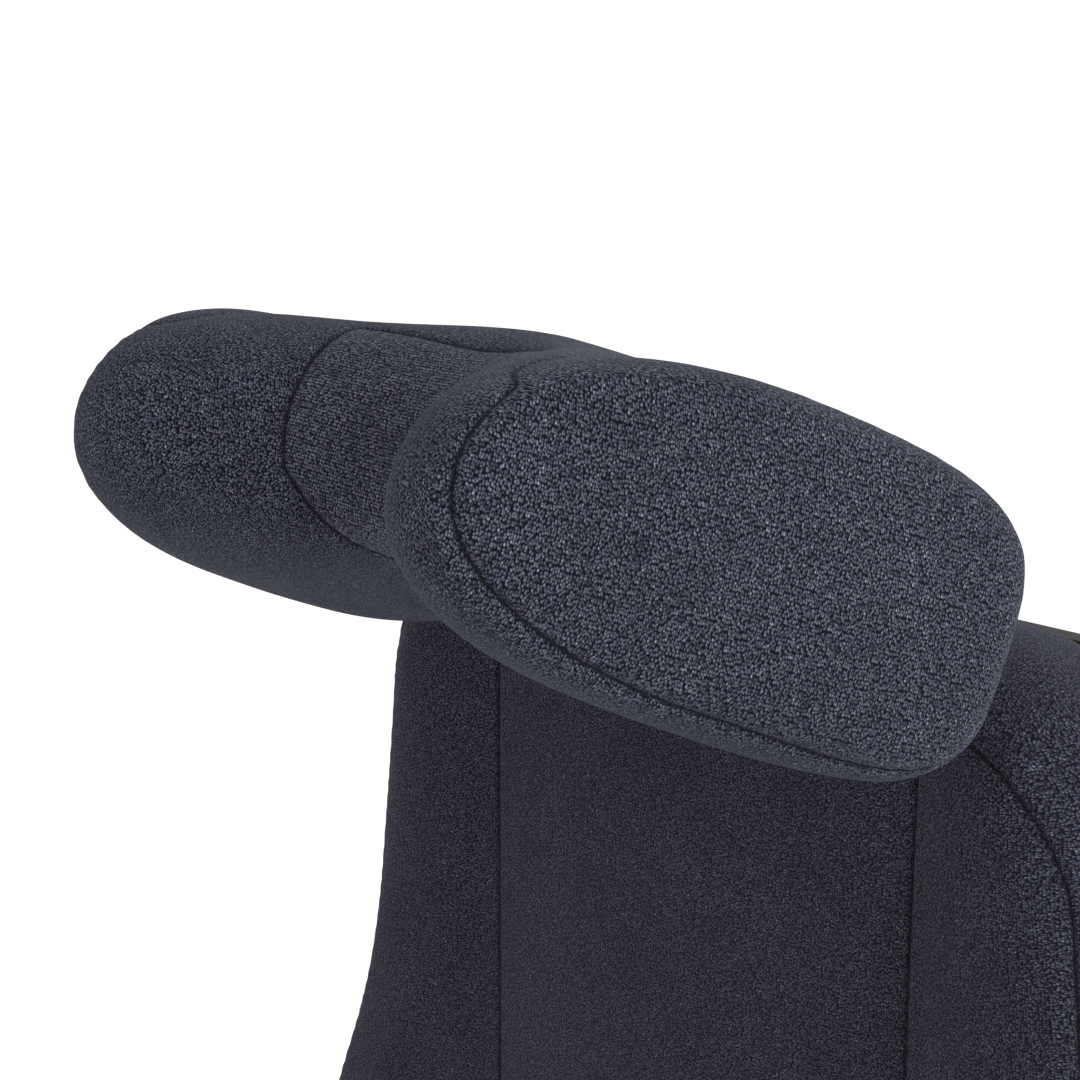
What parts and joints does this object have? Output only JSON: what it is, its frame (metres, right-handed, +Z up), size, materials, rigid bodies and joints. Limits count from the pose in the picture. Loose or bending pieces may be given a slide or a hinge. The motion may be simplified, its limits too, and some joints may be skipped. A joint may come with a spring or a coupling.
{
  "type": "office chair",
  "caption": "Office chair with a winged bolster headrest on a padded reclining back, upholstered seat, gas lift column and star base on twin-wheel castors.",
  "frame": {"origin": "on the floor under the middle of the chair's box", "axes": "+Z up, the sitter faces -Y, +X to the right of someone who looks at the chair's front"},
  "size_m": [0.6602, 0.6798, 1.1612],
  "materials": {
    "slate_fabric": "slate-navy melange wool crepe, matt, with fine flecks",
    "black_plastic": "black moulded plastic, fine grain",
    "grey_tread": "dark grey soft tread",
    "black_paint": "black powder-coated steel",
    "plain_steel": "plain zinc-bright steel",
    "chrome": "chromed piston",
    "dark_casting": "black coated die casting",
    "black_rubber": "black rubber",
    "moulded_board": "moulded ply board"
  },
  "bodies": {
    "base": {"star_base": "black_plastic", "column_tube": "black_paint", "column_bush": "black_plastic", "column_clip": "plain_steel"},
    "castor_1": {"castor_hood_1": "black_plastic"},
    "wheels_1": {"castor_axle_1": "plain_steel", "castor_wheel_left_1": "grey_tread", "castor_wheel_right_1": "grey_tread"},
    "castor_2": {"castor_hood_2": "black_plastic"},
    "wheels_2": {"castor_axle_2": "plain_steel", "castor_wheel_left_2": "grey_tread", "castor_wheel_right_2": "grey_tread"},
    "castor_3": {"castor_hood_3": "black_plastic"},
    "wheels_3": {"castor_axle_3": "plain_steel", "castor_wheel_left_3": "grey_tread", "castor_wheel_right_3": "grey_tread"},
    "castor_4": {"castor_hood_4": "black_plastic"},
    "wheels_4": {"castor_axle_4": "plain_steel", "castor_wheel_left_4": "grey_tread", "castor_wheel_right_4": "grey_tread"},
    "castor_5": {"castor_hood_5": "black_plastic"},
    "wheels_5": {"castor_axle_5": "plain_steel", "castor_wheel_left_5": "grey_tread", "castor_wheel_right_5": "grey_tread"},
    "lift": {"gas_cylinder": "chrome"},
    "seat_frame": {"tilt_housing": "dark_casting", "carrier_plate": "plain_steel", "slide_rail_left": "plain_steel", "slide_rail_right": "plain_steel", "recline_shaft": "plain_steel", "torsion_sleeve": "black_rubber"},
    "lift_lever": {"lift_lever": "black_plastic"},
    "tilt_lever": {"tilt_lever": "black_plastic"},
    "tension_knob": {"tension_knob": "black_plastic"},
    "seat": {"seat_channel_left": "plain_steel", "seat_channel_right": "plain_steel", "seat_shell": "moulded_board", "seat_cushion": "slate_fabric", "seat_screw_1": "plain_steel", "seat_screw_2": "plain_steel", "seat_screw_3": "plain_steel", "seat_screw_4": "plain_steel"},
    "back_arm": {"back_yoke": "black_paint"},
    "back": {"back_carrier": "black_plastic", "back_core": "moulded_board", "back_cushion": "slate_fabric", "rear_cover": "black_plastic", "headrest_guide": "black_plastic", "back_screw_1": "plain_steel", "back_screw_2": "plain_steel", "back_screw_3": "plain_steel", "back_screw_4": "plain_steel"},
    "headrest_post": {"headrest_post": "black_paint"},
    "headrest": {"headrest_bracket": "black_paint", "headrest_pin": "black_paint", "headrest_cushion": "slate_fabric"}
  },
  "joints": [
    {"name": "castor_1_swivel", "type": "hinge", "parent": "base", "child": "castor_1", "pos_m": [0, -0.2902, 0.08974], "axis": [0, 0, 1], "continuous": true},
    {"name": "wheels_1_roll", "type": "hinge", "parent": "castor_1", "child": "wheels_1", "pos_m": [0, -0.3042, 0.02974], "axis": [-1, 0, 0], "continuous": true},
    {"name": "castor_2_swivel", "type": "hinge", "parent": "base", "child": "castor_2", "pos_m": [0.27581, -0.08982, 0.08974], "axis": [0, 0, 1], "continuous": true},
    {"name": "wheels_2_roll", "type": "hinge", "parent": "castor_2", "child": "wheels_2", "pos_m": [0.28912, -0.09414, 0.02974], "axis": [-0.309, -0.9511, 0], "continuous": true},
    {"name": "castor_3_swivel", "type": "hinge", "parent": "base", "child": "castor_3", "pos_m": [0.17046, 0.23442, 0.08974], "axis": [0, 0, 1], "continuous": true},
    {"name": "wheels_3_roll", "type": "hinge", "parent": "castor_3", "child": "wheels_3", "pos_m": [0.17869, 0.24574, 0.02974], "axis": [0.809, -0.5878, 0], "continuous": true},
    {"name": "castor_4_swivel", "type": "hinge", "parent": "base", "child": "castor_4", "pos_m": [-0.17046, 0.23442, 0.08974], "axis": [0, 0, 1], "continuous": true},
    {"name": "wheels_4_roll", "type": "hinge", "parent": "castor_4", "child": "wheels_4", "pos_m": [-0.17869, 0.24574, 0.02974], "axis": [0.809, 0.5878, 0], "continuous": true},
    {"name": "castor_5_swivel", "type": "hinge", "parent": "base", "child": "castor_5", "pos_m": [-0.27581, -0.08982, 0.08974], "axis": [0, 0, 1], "continuous": true},
    {"name": "wheels_5_roll", "type": "hinge", "parent": "castor_5", "child": "wheels_5", "pos_m": [-0.28912, -0.09414, 0.02974], "axis": [-0.309, 0.9511, 0], "continuous": true},
    {"name": "lift_slide", "type": "slide", "parent": "base", "child": "lift", "axis": [0, 0, 1], "range_m": [0, 0.1]},
    {"name": "seat_swivel", "type": "hinge", "parent": "lift", "child": "seat_frame", "pos_m": [0, -0.0002, 0.30784], "axis": [0, 0, 1], "continuous": true},
    {"name": "seat_depth", "type": "slide", "parent": "seat_frame", "child": "seat", "axis": [0, -1, 0], "range_m": [0, 0.05]},
    {"name": "recline", "type": "hinge", "parent": "seat_frame", "child": "back_arm", "pos_m": [0, 0.0698, 0.35084], "axis": [-1, 0, 0], "range_deg": [0, 20], "stiffness_Nm_per_rad": 90, "springref_deg": -25.78},
    {"name": "back_height", "type": "slide", "parent": "back_arm", "child": "back", "axis": [0, 0, 1], "range_m": [0, 0.07]},
    {"name": "headrest_height", "type": "slide", "parent": "back", "child": "headrest_post", "axis": [0, 0, 1], "range_m": [0, 0.06]},
    {"name": "headrest_tilt", "type": "hinge", "parent": "headrest_post", "child": "headrest", "pos_m": [0, 0.3, 1.08174], "axis": [-1, 0, 0], "range_deg": [0, 25]},
    {"name": "lift_lever_pull", "type": "hinge", "parent": "seat_frame", "child": "lift_lever", "pos_m": [-0.066, -0.0042, 0.35084], "axis": [0, 1, 0], "range_deg": [0, 8], "stiffness_Nm_per_rad": 1.5, "springref_deg": -8.59},
    {"name": "tilt_lever_turn", "type": "hinge", "parent": "seat_frame", "child": "tilt_lever", "pos_m": [0.066, -0.0452, 0.35084], "axis": [1, 0, 0], "range_deg": [0, 30]},
    {"name": "tension_knob_turn", "type": "hinge", "parent": "seat_frame", "child": "tension_knob", "pos_m": [0, -0.1102, 0.35084], "axis": [0, -1, 0], "continuous": true}
  ]
}
